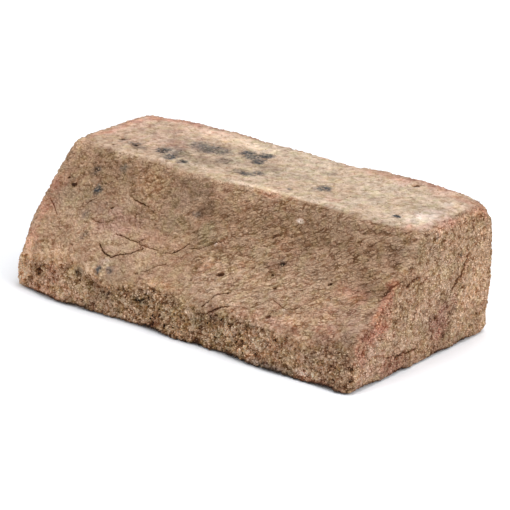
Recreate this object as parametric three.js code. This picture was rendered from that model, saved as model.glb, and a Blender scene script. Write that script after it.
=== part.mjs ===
// Hand-moulded clay plinth stretcher: a solid facing brick whose front has an upright band at the foot and,
// above it, a weathering slope that runs back to a narrow top bed. Soft clay was thrown into a sanded mould
// and turned out wet, so the faces bow, the ends lean out a little and every arris is rounded.
//
// Millimetres, +Z up. X runs along the length, the sloped face looks along -Y, and the brick lies on its flat
// bed at Z = 0. The origin is the middle of the bed.
import * as THREE from "three";

// ---- Driving dimensions: the work size of a standard brick, 215 x 102.5 x 65 ----
const LENGTH = 215;
const WIDTH = 102.5;
const HEIGHT = 65;
const BAND_HEIGHT = 21; // upright band below the slope
const SLOPE_RUN = 47.5; // how far the slope leans back from the band to the top bed
const SHOULDER = SLOPE_RUN - WIDTH / 2; // where the top bed's front arris lies across the width

// ---- How closely the skin is divided ----
const LENGTH_STEPS = 54; // between the two rounded ends
const END_ROUND_STEPS = 3; // across each end's rounded arris
const END_FACE_RINGS = 4; // from an end's arris in to its middle

// A size that wanders along the brick: its offsets at equal steps from the left end to the right end, in
// millimetres, joined by a smooth curve and added to the size's nominal value.
function along(nominal, ...offsets) {
  const curve = new THREE.SplineCurve(
    offsets.map((offset, i) => new THREE.Vector2(i, nominal + offset)),
  );
  return (t) => curve.getPoint(THREE.MathUtils.clamp(t, 0, 1)).y;
}

// ---- The lines that run the length of the brick ----
const line = {
  // Foot of the front, which slumped outwards after moulding, most of all towards the right.
  footY: along(-WIDTH / 2, 3.4, -0.8, 0.0, 0.6, -1.4, -1.2, -4.0, -3.6, -3.8),
  // Lip, where the band turns into the slope.
  lipY: along(-WIDTH / 2, 6.2, 2.8, 1.4, 2.2, 1.2, 0.8, 0.4, 1.2, 1.8),
  lipZ: along(BAND_HEIGHT, -1.6, -1.4, 0.0, -3.2, -2.6, 0.0, -0.6, 0.8, 3.2),
  // How far the slope is hollowed below a straight line, square to it. It is full at the left end.
  hollow: along(0, -2.0, -0.6, 1.6, 3.0, 3.4, 3.6, 3.8, 4.0, 4.0),
  hollowPeak: along(0.5, -0.05, -0.02, 0.02, 0.04, 0.1, 0.14, 0.16, 0.16, 0.12),
  // Front arris of the top bed.
  shoulderY: along(SHOULDER, 1.4, -0.4, 0.2, -1.8, -0.4, 1.6, 0.5, -1.6, 2.0),
  shoulderZ: along(HEIGHT, -0.4, -0.8, -0.6, -0.6, -0.8, -0.6, -0.8, -0.6, -0.2),
  // Rise of the top bed between its two long arrises.
  crown: along(0, 0.6, 0.5, 0.4, 0.2, -0.2, -0.2, -0.1, 0.2, 0.2),
  // Back arris of the top bed.
  brinkY: along(WIDTH / 2, 1.4, 1.8, 2.2, 1.6, 1.9, 1.0, 1.8, 2.0, 1.2),
  brinkZ: along(HEIGHT, -1.0, 0.6, 0.8, -0.5, -0.2, -0.5, 0.8, 0.9, 0.8),
  // Belly of the back face, and its foot.
  backBelly: along(0, 0.4, 1.0, 0.6, -0.4, 0.2, 0.8, 1.0, 0.4, 0.2),
  heelY: along(WIDTH / 2, -0.2, -0.4, -0.2, 0.2, -0.4, -0.8, -0.6, -0.4, -0.2),
};

// ---- Radii of the long arrises ----
const radius = {
  foot: along(2.2, 1.2, 0.2, 0, 0.2, -0.2, 0, 0.2, -0.2, 0),
  lip: along(4.5, 5.0, 3.0, 1.0, 0, -0.6, -0.4, 0.4, 0, -0.8),
  shoulder: along(3.0, 2.0, 0.8, 0, 0.6, -0.6, 0, 0, 0.4, 1.0),
  brink: along(4.5, 2.0, 0.6, 0, -0.6, 0, 0.4, 0.6, 0.6, 1.8),
  heel: along(3.5, 1.4, 0, 0.6, 0, 0, -0.4, 0.6, 0.4, 1.0),
};

// A side of the section: how many pieces it is divided into, how far it stands out of the straight, and at
// what share of its length it does so most.
const side = (pieces, bow, peak = 0.5) => ({ pieces, bow, peak });
const CORNER_PIECES = 4;

// The section at t, from 0 at the left end to 1 at the right end, as a closed loop of points (y, z). It runs
// from the bed, up the front, over the top and down the back, and always has the same number of points.
function sectionAt(t) {
  const corners = [
    [line.footY(t), 0, radius.foot(t), side(5, 0)],
    [line.lipY(t), line.lipZ(t), radius.lip(t), side(15, -line.hollow(t), line.hollowPeak(t))],
    [line.shoulderY(t), line.shoulderZ(t), radius.shoulder(t), side(11, line.crown(t))],
    [line.brinkY(t), line.brinkZ(t), radius.brink(t), side(12, line.backBelly(t))],
    [line.heelY(t), 0, radius.heel(t), side(8, 0)],
  ].map(([y, z, round, next]) => ({ at: new THREE.Vector2(y, z), round, next }));

  const path = new THREE.Path();
  const pieces = [];
  corners.forEach((corner, i) => {
    const before = corners.at(i - 1).at;
    const after = corners[(i + 1) % corners.length];
    const towards = (target, distance) =>
      target.clone().sub(corner.at).setLength(distance).add(corner.at);
    const enter = towards(before, corner.round);
    const leave = towards(after.at, corner.round);
    const arrive = after.at.clone().sub(corner.at);
    const bow = new THREE.Vector2(-arrive.y, arrive.x).setLength(2 * corner.next.bow);
    const end = after.at.clone().sub(arrive.clone().setLength(after.round));
    const middle = leave.clone().lerp(end, corner.next.peak).add(bow);
    path.curves.push(
      new THREE.QuadraticBezierCurve(enter, corner.at, leave),
      new THREE.QuadraticBezierCurve(leave, middle, end),
    );
    pieces.push(CORNER_PIECES, corner.next.pieces);
  });
  return path.curves.flatMap((curve, i) => curve.getPoints(pieces[i]).slice(0, -1));
}

// ---- The two ends ----
// Each end face leans out towards the top, as a brick does that was turned out of a tapered mould. The right
// one also runs back a little askew.
const LEFT_END = { atBed: -LENGTH / 2 + 1.2, lean: 1.6, twist: 1.6, round: 3.0, extraRoundAtTop: 1.8 };
const RIGHT_END = { atBed: LENGTH / 2 - 1.6, lean: 2.2, askew: 2.2, twist: 2.8, round: 2.0 };

const leftEndAt = (y, z) =>
  LEFT_END.atBed - (LEFT_END.lean - LEFT_END.twist * (y / WIDTH)) * (z / HEIGHT);
const rightEndAt = (y, z) => {
  const across = y / WIDTH;
  const up = z / HEIGHT;
  return RIGHT_END.atBed + (RIGHT_END.lean + RIGHT_END.twist * across) * up - RIGHT_END.askew * across;
};

// Radius of an end's arris at a point of its outline. On the right end it grows where the foot turns into the
// front, and over the top, most of all at the back corner, which slumped.
const FOOT_CORNER = 3;
const SLUMP = { atFront: 1.8, towardsBack: 5.2 };
const leftRoundAt = (y, z) => LEFT_END.round + LEFT_END.extraRoundAtTop * (z / HEIGHT);
const rightRoundAt = (y, z) => {
  const back = THREE.MathUtils.smoothstep(y, 0, WIDTH / 2);
  const corner = THREE.MathUtils.smoothstep(-y, WIDTH * 0.3, WIDTH / 2);
  const slump = (SLUMP.atFront + SLUMP.towardsBack * back) * (z / HEIGHT) ** 5;
  return RIGHT_END.round + slump + FOOT_CORNER * corner * (1 - z / HEIGHT) ** 4;
};

// Shallow waves that the struck and handled clay keeps on every face but the bed: how far they stand out, and
// the lengths over which they turn along X, Y and Z.
const LONG_WAVE = { height: 0.45, x: 17, y: 23, z: 13, drift: 41 };
const SHORT_WAVE = { height: 0.25, x: 7.3, y: 8.2, z: 9.1, drift: 12.7 };

function handmadeWave(x, y, z) {
  const long =
    Math.sin(x / LONG_WAVE.x + y / LONG_WAVE.y) * Math.cos(z / LONG_WAVE.z - x / LONG_WAVE.drift);
  const short =
    Math.sin(x / SHORT_WAVE.x - z / SHORT_WAVE.z) * Math.cos(y / SHORT_WAVE.y + x / SHORT_WAVE.drift);
  return LONG_WAVE.height * long + SHORT_WAVE.height * short;
}

// Dips where the clay folded, tore or was handled: centre (x, y, z), reach and depth in millimetres.
const dips = [
  [106, -20, 43, 5, 2.2], // torn notch in the right end's sloping arris
  [-107, -43, 22, 5, 2.0], // and above the lip in the left one's
  [13, -7, 59, 6, 1.2], // fold that runs down the slope from the top arris
  [9, -16, 48, 6, 1.0],
  [22, -52, 11, 9, 1.6], // torn places in the upright band
  [-52, -51, 9, 8, 1.2],
  [-18, -50, 13, 7, 1.0],
  [74, -53, 8, 9, 1.0],
  [-30, 53, 30, 14, 1.2], // dents of handling in the back and the left end
  [48, 52, 44, 11, 0.9],
  [-108, 12, 36, 13, 1.1],
];

function dipAt(point) {
  return dips.reduce((sum, [x, y, z, reach, depth]) => {
    const away = Math.hypot(point.x - x, point.y - y, point.z - z) / reach;
    return sum + depth * Math.exp(-away * away);
  }, 0);
}

// A point (y, z) well inside every section, and how far from it the section's outline begins.
const MIDDLE = new THREE.Vector2(6, HEIGHT * 0.46);
const OUTLINE = new THREE.Vector2(WIDTH * 0.42, HEIGHT * 0.46);

// One ring of an end's rounded arris. The section is drawn in from its outline by a share of the radius.
function ringNear(end, endAt, roundAt, angle) {
  const t = end < 0 ? 0 : 1;
  return sectionAt(t).map(({ x: y, y: z }) => {
    const round = roundAt(y, z);
    const inset = round * (1 - Math.cos(angle));
    const drawnY = y - inset * THREE.MathUtils.clamp((y - MIDDLE.x) / OUTLINE.x, -1, 1);
    const drawnZ = z - inset * THREE.MathUtils.clamp((z - MIDDLE.y) / OUTLINE.y, -1, 1);
    const x = endAt(drawnY, drawnZ) - end * round * (1 - Math.sin(angle));
    return new THREE.Vector3(x, drawnY, drawnZ);
  });
}

function bodyRing(step) {
  const t = step / LENGTH_STEPS;
  const left = ringNear(-1, leftEndAt, leftRoundAt, 0);
  const right = ringNear(1, rightEndAt, rightRoundAt, 0);
  return sectionAt(t).map(
    ({ x: y, y: z }, i) => new THREE.Vector3(THREE.MathUtils.lerp(left[i].x, right[i].x, t), y, z),
  );
}

function endFaceRing(end, endAt, rim, share) {
  return rim.map((point) => {
    const y = THREE.MathUtils.lerp(point.y, MIDDLE.x, share);
    const z = THREE.MathUtils.lerp(point.z, MIDDLE.y, share);
    return new THREE.Vector3(endAt(y, z), y, z);
  });
}

// Every ring from the middle of the left end face to the middle of the right one.
function skinRings() {
  const angles = Array.from(
    { length: END_ROUND_STEPS },
    (_, i) => ((i + 1) / END_ROUND_STEPS) * (Math.PI / 2),
  );
  const shares = Array.from({ length: END_FACE_RINGS - 1 }, (_, i) => (i + 1) / END_FACE_RINGS);
  const endRings = (end, endAt, roundAt) => {
    const rounded = angles.map((angle) => ringNear(end, endAt, roundAt, angle));
    const face = shares.map((share) => endFaceRing(end, endAt, rounded.at(-1), share));
    return [...rounded, ...face];
  };
  const body = Array.from({ length: LENGTH_STEPS + 1 }, (_, step) => bodyRing(step));
  return [
    ...endRings(-1, leftEndAt, leftRoundAt).reverse(),
    ...body,
    ...endRings(1, rightEndAt, rightRoundAt),
  ];
}

// The waves and dips push the skin away from a spine inside the brick. The bed stays flat, and they fade out
// over the lowest part of the faces round it.
const SPINE = LENGTH - WIDTH;
const FADE_HEIGHT = 12;
const ON_THE_BED = 1e-6;

// The closed skin: quads between rings and a fan over the middle of each end.
function brickGeometry() {
  const rings = skinRings();
  const count = rings[0].length;
  const points = rings.flat();
  const leftMiddle = points.length;
  const rightMiddle = leftMiddle + 1;
  points.push(
    new THREE.Vector3(leftEndAt(MIDDLE.x, MIDDLE.y), MIDDLE.x, MIDDLE.y),
    new THREE.Vector3(rightEndAt(MIDDLE.x, MIDDLE.y), MIDDLE.x, MIDDLE.y),
  );

  for (const point of points) {
    if (point.z < ON_THE_BED) continue;
    const pastSpine = Math.max(Math.abs(point.x) - SPINE / 2, 0);
    const outwards = new THREE.Vector3(
      pastSpine * Math.sign(point.x),
      point.y - MIDDLE.x,
      point.z - MIDDLE.y,
    );
    const share = Math.min(point.z / FADE_HEIGHT, 1);
    const height = handmadeWave(point.x, point.y, point.z) - dipAt(point);
    point.addScaledVector(outwards.normalize(), share * height);
  }

  const faces = [];
  for (let ring = 0; ring < rings.length - 1; ring++) {
    for (let i = 0; i < count; i++) {
      const a = ring * count + i;
      const b = ring * count + ((i + 1) % count);
      faces.push(a, a + count, b, b, a + count, b + count);
    }
  }
  const lastRing = (rings.length - 1) * count;
  for (let i = 0; i < count; i++) {
    const next = (i + 1) % count;
    faces.push(leftMiddle, i, next);
    faces.push(rightMiddle, lastRing + next, lastRing + i);
  }

  const geometry = new THREE.BufferGeometry();
  geometry.setFromPoints(points);
  geometry.setIndex(faces);
  centreOnBed(geometry);
  geometry.computeVertexNormals();
  return geometry;
}

// Puts the origin under the middle of the brick's outline, on the bed.
function centreOnBed(geometry) {
  geometry.computeBoundingBox();
  const { min, max } = geometry.boundingBox;
  geometry.translate(-(min.x + max.x) / 2, -(min.y + max.y) / 2, -min.z);
}

const firedClay = new THREE.MeshStandardMaterial({ color: 0xa88767, roughness: 0.95, metalness: 0 });

const brick = new THREE.Mesh(brickGeometry(), firedClay);
brick.name = "plinth_brick";

const part = new THREE.Group();
part.add(brick);

export default part;
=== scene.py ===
import math

import bmesh
import bpy
import numpy as np
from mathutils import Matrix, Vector, noise


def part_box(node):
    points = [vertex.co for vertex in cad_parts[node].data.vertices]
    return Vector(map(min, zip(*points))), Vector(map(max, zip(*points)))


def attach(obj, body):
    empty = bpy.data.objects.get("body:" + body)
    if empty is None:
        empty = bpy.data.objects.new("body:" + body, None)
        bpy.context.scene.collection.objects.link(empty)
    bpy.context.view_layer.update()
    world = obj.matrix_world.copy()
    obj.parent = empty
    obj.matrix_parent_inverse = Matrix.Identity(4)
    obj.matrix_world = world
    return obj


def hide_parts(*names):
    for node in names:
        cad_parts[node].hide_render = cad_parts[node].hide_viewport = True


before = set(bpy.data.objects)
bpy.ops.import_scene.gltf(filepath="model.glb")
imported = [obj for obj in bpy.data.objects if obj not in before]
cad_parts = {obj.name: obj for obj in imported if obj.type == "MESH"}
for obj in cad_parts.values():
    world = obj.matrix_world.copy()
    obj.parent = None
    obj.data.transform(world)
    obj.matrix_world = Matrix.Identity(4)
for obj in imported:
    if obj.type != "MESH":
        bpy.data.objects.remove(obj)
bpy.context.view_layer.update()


# ---------------------------------------------------------------------------------------------------------
# The fired brick
# One lump of soft clay, thrown into a sanded mould, struck off level, turned out wet and fired hard. Its
# slope kept short folds of clay, the upright band below it tore as the mould came away, and the ends took
# the mould's sand.
# ---------------------------------------------------------------------------------------------------------
MM = 0.001
SKIN_CELL = 0.86  # millimetres between the skin's points
BED_MARGIN = 15  # further in than this the flat bed needs few points
BED_THINNING = 0.95  # the share of those points that goes

brick = bpy.data.objects.new("fired_brick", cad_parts["plinth_brick"].data.copy())
bpy.context.scene.collection.objects.link(brick)
work = bmesh.new()
work.from_mesh(brick.data)
bmesh.ops.remove_doubles(work, verts=work.verts, dist=1e-6)
work.to_mesh(brick.data)
work.free()


def settled(piece):
    """Gives a piece the mesh that its modifiers make, and takes the modifiers off."""
    depsgraph = bpy.context.evaluated_depsgraph_get()
    mesh = bpy.data.meshes.new_from_object(piece.evaluated_get(depsgraph))
    mesh.name = piece.name
    piece.modifiers.clear()
    piece.data = mesh
    return mesh


even = brick.modifiers.new("even_skin", "REMESH")
even.mode = "VOXEL"
even.voxel_size = SKIN_CELL * MM
skin = settled(brick)

low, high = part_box("plinth_brick")
inner_bed = [v.index for v in skin.vertices if v.co.z < 0.1 * MM and all(
    low[i] + BED_MARGIN * MM < v.co[i] < high[i] - BED_MARGIN * MM for i in (0, 1))]
brick.vertex_groups.new(name="inner_bed").add(inner_bed, 1.0, "REPLACE")
fewer = brick.modifiers.new("fewer_points_in_the_bed", "DECIMATE")
fewer.vertex_group = "inner_bed"
fewer.ratio = 1 - BED_THINNING * len(inner_bed) / len(skin.vertices)
skin = settled(brick)

# From here on everything is in millimetres, until the points go back to the mesh.
count = len(skin.vertices)
at = np.empty(count * 3)
out = np.empty(count * 3)
skin.vertices.foreach_get("co", at)
skin.vertex_normals.foreach_get("vector", out)
at = at.reshape(-1, 3) / MM
out = out.reshape(-1, 3)
x, y, z = at.T.copy()


def smoothstep(start, end, value):
    """0 up to the start, 1 from the end on, and a smooth rise between them."""
    t = np.clip((value - start) / (end - start), 0, 1)
    return t * t * (3 - 2 * t)


# Which face each point belongs to, with soft borders, by the direction in which the skin faces. The band
# turns into the slope over a few millimetres of height, along a wavering line.
BAND_ENDS = (15, 23)  # heights between which the band gives way to the slope
bed = smoothstep(0.6, 0.95, -out[:, 2])
top = smoothstep(0.85, 0.97, out[:, 2])
ends = smoothstep(0.75, 0.95, np.abs(out[:, 0]))
front = smoothstep(0.3, 0.6, -out[:, 1]) * (1 - ends)
band = front * (1 - smoothstep(*BAND_ENDS, z + 2 * np.sin(x / 9)))
slope = front * (1 - band)


def waves(size, octaves, seed, points=at):
    """Soft noise from -1 to 1 at each point, its largest waves about the given size in millimetres."""
    shift = Vector((seed, -seed, 2 * seed))
    return np.array([noise.fractal(Vector(p) / size + shift, 1.0, 2.0, octaves) for p in points])


# The clay was pushed into the mould from one side, and its folds lie that way: they climb to the right across
# the slope and the right end, and run level on the slope's left half and along the struck top.
CLIMBING = Vector((1, 0, 0)).rotation_difference(Vector((0.86, 0.36, 0.36)))
LEVEL = Vector((1, 0, 0)).rotation_difference(Vector((0.95, 0.2, 0.22)))
LEVEL_STRETCH = 1.6
climbing = smoothstep(-45, 10, x) * (1 - top)


def along_folds(turn, stretch):
    """The points turned so that X runs along the folds, and drawn out along them."""
    return at @ np.array(turn.to_matrix()) / (stretch, 1, 1)


def folded(width, seed, climbing_stretch):
    """Noise drawn out along the folds, whichever way they lie at each point."""
    noise_here = waves(width, 2, seed, along_folds(CLIMBING, climbing_stretch)) * climbing
    noise_here += waves(width, 2, seed, along_folds(LEVEL, LEVEL_STRETCH)) * (1 - climbing)
    return noise_here / np.hypot(climbing, 1 - climbing)


noise.seed_set(17)  # without a seed, noise_vector is different in each run


def cells(size, seed):
    """Distance to the nearest border of irregular cells of the given size: 0 on it, up to about 1 inside."""
    shift = Vector((seed, -seed, 2 * seed))
    borders = []
    for p in at:
        p = Vector(p) / size + shift
        near = noise.voronoi(p + 0.35 * noise.noise_vector(1.7 * p))[0]
        borders.append(near[1] - near[0])
    return np.array(borders)


# The noises that shape the clay, the first number of each its size in millimetres.
folds = folded(1.9, 5.5, 2.6)
long_folds = folded(3.6, 15.5, 2.0)
wide = waves(14, 2, 3.1)
patches = waves(18, 2, 11.0)
lumps = waves(5, 2, 7.7)
nodules = cells(2.9, 17.0)
crumbs = waves(2.3, 2, 9.1)
holes = waves(2.9, 2, 41.0)
wobble = waves(2.2, 2, 21.0)

# Skin that the mould wiped smooth, on the slope's left half, and the part of the band that tore.
WIPED_AT = -45
WIPED_REACH_ALONG = 24
WIPED_REACH_UP = 11
up_slope = (y + z) / math.sqrt(2) + 1
smooth_skin = slope * np.exp(-(((x - WIPED_AT) / WIPED_REACH_ALONG) ** 2 + (up_slope / WIPED_REACH_UP) ** 2))
torn_band = band * (0.45 + 0.55 * smoothstep(-50, -25, x)) * (1 - 0.45 * smoothstep(40, 80, x))
rough = 1 - 0.6 * smooth_skin - 0.5 * top - 0.3 * smoothstep(15, 60, x) * slope


def rounded(noise_values):
    """Rounded lumps from 0 to 1 with sharp creases between them, where the noise is 0."""
    return np.minimum(np.abs(noise_values), 0.5) * 2


def crease(noise_values, width):
    """1 where the noise is 0, falling away to both sides within the given width."""
    return np.exp(-(noise_values / width) ** 2)


# How far each kind of relief stands out or goes in where it is strongest, in millimetres.
SWELLS = 0.30
LUMPS = 0.25
FOLDS = 0.75
CRUMBS = 0.85
NODULES = 1.9
FOLD_MARKS = 0.45
FINE_MARKS = 0.25
PINHOLES = 1.0

relief = SWELLS * wide + LUMPS * lumps * rough
relief += FOLDS * (rounded(folds) - 0.5) * rough * (1 - 0.5 * torn_band) * (1 - 0.4 * ends)
relief += CRUMBS * (rounded(crumbs) - 0.5) * (0.25 * rough + 0.6 * ends + 0.9 * torn_band)
relief += NODULES * (np.sqrt(np.minimum(nodules, 0.5) * 2) - 0.75) * torn_band

fold_marks = crease(long_folds, 0.07) * smoothstep(0.15, 0.5, lumps + 0.6 * patches) * rough
fine_marks = crease(folds, 0.10) * smoothstep(-0.1, 0.5, patches + lumps) * rough
pinholes = smoothstep(0.36, 0.55, holes) * (0.08 * rough + 0.1 * ends + 0.8 * torn_band)
relief -= FOLD_MARKS * fold_marks + FINE_MARKS * fine_marks + PINHOLES * pinholes


def on_skin(place):
    """The point of the skin nearest to a place."""
    return at[np.argmin(np.linalg.norm(at - place, axis=1))]


def distances_to_line(line):
    """How far each point is from a line of straight stretches on the skin, and how far to the side of it."""
    nearest = np.full(count, np.inf)
    beside = np.zeros(count)
    corners = [on_skin(place) for place in line]
    for start, end in zip(corners, corners[1:]):
        along = end - start
        share = np.clip((at - start) @ along / (along @ along), 0, 1)
        distance = np.linalg.norm(at - start - share[:, None] * along, axis=1)
        sideways = np.cross(out, along / np.linalg.norm(along))
        closer = distance < nearest
        nearest[closer] = distance[closer]
        beside[closer] = ((at - start) * sideways).sum(axis=1)[closer]
    return nearest, beside


# Cracks and folds: width, depth, and the places they run through.
CRACKS = [
    # the long fold across the smooth skin of the slope, in three strokes
    (1.0, 1.3, [(-58, -38.5, 29.5), (-54, -40.5, 28), (-49, -41.5, 27), (-45, -39.5, 28), (-41, -37.5, 29),
                (-35.5, -33, 31.5)]),
    (0.8, 1.0, [(-37, -32, 33), (-32.5, -31.5, 32.5), (-28, -31.5, 32)]),
    (0.9, 1.2, [(-22.5, -31.5, 32.5), (-19, -31, 32.5), (-16.5, -29.5, 34), (-13.5, -26.5, 37)]),
    # a nick in the left end's upper arris
    (3.4, 1.6, [(-105, 3, 62), (-102, 2, 64.4), (-98, 0.8, 64.3)]),
    # shorter folds above and beside the long one
    (0.9, 1.1, [(-52, -32, 35), (-48, -32, 34.5), (-44, -32.5, 34), (-40, -32, 33.5), (-38, -30.5, 34.5)]),
    (0.7, 0.9, [(-70.5, -30, 38), (-67.5, -30.5, 37.5), (-65, -30.5, 37), (-63, -30, 37.5)]),
    (0.9, 1.1, [(-53.5, -18, 48.5), (-50, -18.5, 48), (-45.5, -19, 47)]),
    (0.8, 0.8, [(-78, -25.5, 43), (-77, -24.5, 44), (-75.5, -23.5, 45)]),
    (0.8, 0.9, [(-10, -27.5, 36), (-5.5, -26.5, 37), (-2, -24.5, 38.5), (1, -23, 40.5)]),
    # the torn lip of the band
    (1.0, 1.4, [(16, -48, 20), (17.7, -47, 22), (18.9, -45.7, 23.5), (20, -43.8, 25), (22.5, -42.5, 26),
                (25, -42, 26.3)]),
    (1.0, 1.4, [(18.5, -49, 16.5), (21.5, -48.5, 19), (25, -48, 21.5), (30, -47.5, 22.5)]),
    (0.7, 0.9, [(51, -39.5, 28), (56, -41, 27.5), (59.5, -41.5, 27), (63, -41, 27.5), (65, -40, 28.5)]),
    (0.7, 0.8, [(38.5, -46.5, 24), (42, -46, 24), (43.5, -43, 26)]),
    (0.7, 0.8, [(-28, -41, 24.5), (-25.5, -39, 25.5), (-22.5, -37, 27.5), (-19.5, -36, 28)]),
    # a valley and a crack in the band to the left of it
    (3.4, 1.0, [(-69, -47.5, 19), (-63, -48.5, 16.5), (-56.5, -49, 14), (-48, -49, 12.5)]),
    (1.1, 1.2, [(-29, -48.5, 11.5), (-23.5, -48, 12.5), (-19.5, -48, 15)]),
    # a fold beside the left end
    (0.8, 0.8, [(-100.5, -28, 40.5), (-97, -29.5, 38.5), (-93.5, -31.5, 36.5)]),
    # the torn arris of the right end, with the valley beside it
    (2.4, 0.8, [(102.9, -24.8, 39), (103.2, -22.5, 40.6), (103.7, -20.3, 41.7), (104.9, -17.6, 43.1)]),
    (3.6, 1.2, [(99.5, -23, 40.5), (104.5, -18, 43)]),
    # the cracks in the right end
    (3.0, 1.5, [(107.4, 33.1, 43.1), (107.3, 31.8, 40.5), (107.2, 30.5, 38), (107.1, 27.7, 35.2),
                (107, 24.7, 33)]),
    (2.0, 1.2, [(107, 24.7, 33), (107, 21.8, 30.5)]),
    (2.0, 1.4, [(106.7, -11.5, 41.2), (107, -9, 42.2), (107.2, -4.5, 42.6)]),
    (1.3, 1.1, [(106.7, -25.7, 9.7), (106.7, -21.5, 9.6)]),
    (1.8, 1.3, [(106.7, -19.5, 8.5), (106.6, -14, 8.8)]),
    (1.4, 1.2, [(106.5, -12, 8.4), (106.3, -5.5, 8)]),
    (0.9, 0.9, [(106.8, -37, 14.5), (106.7, -29.5, 12.5)]),
    (0.8, 1.0, [(106, -33.5, 21.5), (106, -29, 20.5)]),
    # the worn arris below the tear
    (3.4, 0.6, [(103.5, -48.7, 22.5), (105, -50, 16), (106, -50.8, 9)]),
    # short scratches of the striking board in the top
    (0.5, 0.5, [(71.5, 24.6, 65.6), (74.3, 27, 65.6)]),
    (0.5, 0.5, [(61.5, 16.5, 65.4), (64, 19, 65.4)]),
    (0.5, 0.5, [(63, 6, 65), (65, 8, 65)]),
    (0.5, 0.5, [(76, 16, 65.5), (78.5, 17.5, 65.5)]),
    (0.5, 0.5, [(89, 24, 65.6), (92, 26.5, 65.6)]),
]
VALLEY_WIDTH = 3.2  # from this width on it is a valley in the clay, and has no dark line in it
# Pits where grit fell out or the clay didn't fill, a little longer along the folds: place, radius and depth.
PITS = [
    (-91, -47, 12, 2.9, 2.2), (-90.8, -47, 9.5, 2.2, 1.8), (-91.5, -20.5, 48, 1.9, 1.1),
    (-97, -18, 50, 1.5, 0.8), (14, -34.5, 31, 1.7, 1.6), (42.5, -23.5, 40, 1.5, 0.8),
    (41, -29, 35.5, 1.3, 1.0), (73.5, -26.5, 38.5, 1.1, 1.4), (60.5, -23.5, 40, 1.0, 1.0),
    (-16.5, -47, 19, 1.6, 1.1), (-47, -49, 12, 1.6, 0.8), (-54.5, -48.5, 13, 1.6, 1.2),
    (-63, -24, 43.5, 1.2, 1.0), (-63.5, -48, 17.5, 1.2, 0.7), (-37.5, -49, 15, 1.2, 1.2),
    (-15.5, -49.5, 2.8, 1.7, 1.4), (13, -51, 2.5, 2.6, 2.0), (19, -48.5, 15, 1.3, 0.9),
    (23.5, -48.5, 17, 1.2, 0.7), (-31, -43, 23.5, 1.3, 0.9), (-0.5, -40, 26, 1.1, 1.0),
    (-30, -49, 6.5, 1.4, 1.0), (107.5, 25.2, 45.8, 1.2, 1.3), (107.6, 6.6, 58, 1.6, 1.0),
    (107.6, 16.3, 51.5, 1.2, 1.0), (106, 9.5, 19.5, 1.8, 1.3), (67.5, 44, 66, 1.7, 1.6),
    (106, 0.5, 23.5, 1.2, 1.1), (105, -50.5, 6.5, 1.6, 1.6), (46.5, -34, 32, 1.2, 1.0),
    (54, -47, 23.5, 1.1, 1.0), (67.5, -50.5, 18, 1.1, 1.1), (42, -51.5, 9.5, 1.5, 1.5),
    (39, -51, 12.5, 1.4, 1.3), (-86, 9.5, 65, 1.6, 0.9), (-74.5, 6.5, 65, 1.5, 0.9),
    (-85, 1, 64.5, 1.6, 1.0),
]
FOLDS_TURN_AT = -20  # left of this a pit lies level, as the folds round it do
# The skin's points lie too far apart to draw a crack or a pit's rim sharply, so the material paints both as
# dark shade, from how far each point is to the side of a crack, in widths of it, and how near it is to a
# pit's middle, in radii.
cut = np.zeros(count)
beside_crack = np.zeros(count)
crack_here = np.zeros(count)
from_pit = np.full(count, 2.0)
for width, depth, line in CRACKS:
    nearest, beside = distances_to_line(line)
    near = np.clip(nearest + 0.35 * wobble, 0, None)
    cut = np.maximum(cut, 0.5 * depth * np.exp(-(near / (0.55 * width)) ** 2))
    here = min(0.8 * depth, 1) * (1 - smoothstep(0.9, 1.8, nearest)) * (width < VALLEY_WIDTH)
    mine = here > crack_here
    crack_here[mine] = here[mine]
    beside_crack[mine] = beside[mine] / width
for px, py, pz, radius, depth in PITS:
    lie = LEVEL if px < FOLDS_TURN_AT else CLIMBING
    away = (at - on_skin((px, py, pz))) @ np.array(lie.to_matrix())
    near = np.linalg.norm(away / (1.35, 0.85, 0.85), axis=1) + 0.9 * wobble
    cut = np.maximum(cut, 0.7 * depth * (1 - smoothstep(0.3 * radius, 1.2 * radius, near)))
    from_pit = np.minimum(from_pit, near / radius + 0.3 * max(1.3 - depth, 0))
relief -= cut

# The top corner at the back right is worn round.
WORN_CORNER = (102, 52, 65)
WORN_REACH = (7, 7, 6)
WORN_DEPTH = 1.7
worn = sum(((value - middle) / reach) ** 2
           for value, middle, reach in zip((x, y, z), WORN_CORNER, WORN_REACH))
relief -= WORN_DEPTH * np.exp(-worn)

# The brick stands on the middle of its bed: towards the faces the bed curves up by a fraction of a
# millimetre, and by about one in a few gaps, and leaves a ragged dark line along the foot. Each gap is its
# middle, and how far it reaches to both sides.
UNDERCUT_REACH = 14
UNDERCUT_HEIGHT = 0.15
GAP_HEIGHT = 5  # in undercut heights
END_GAPS = ((-41, 5), (-17, 5), (13, 6), (33, 5))  # along the right end
FRONT_GAPS = ((-84, 9), (-62, 7), (-16, 8), (36, 8), (63, 8), (92, 7))  # along the front
FOOT_HEIGHT = 4
COLUMN = 3  # the foot's front and back are found in strips of this width
foot = z < FOOT_HEIGHT
columns = np.round(x / COLUMN).astype(int)
columns -= columns.min()
front_foot = np.full(columns.max() + 1, np.inf)
back_foot = -front_foot
np.minimum.at(front_foot, columns[foot], y[foot])
np.maximum.at(back_foot, columns[foot], y[foot])
inside = np.minimum.reduce([
    y - front_foot[columns], back_foot[columns] - y, x - x[foot].min(), x[foot].max() - x])
undercut = 1 - smoothstep(0.4 * UNDERCUT_REACH, UNDERCUT_REACH, inside)
undercut *= 1 - smoothstep(0, FOOT_HEIGHT, z)
raised = 1 + 0.7 * lumps + 0.3 * crumbs
end_gap = sum(np.exp(-((y - middle) / reach) ** 2) for middle, reach in END_GAPS) * smoothstep(90, 104, x)
front_gap = sum(np.exp(-((x - middle) / reach) ** 2) for middle, reach in FRONT_GAPS)
front_gap *= 1 - smoothstep(-46, -40, y)
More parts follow.
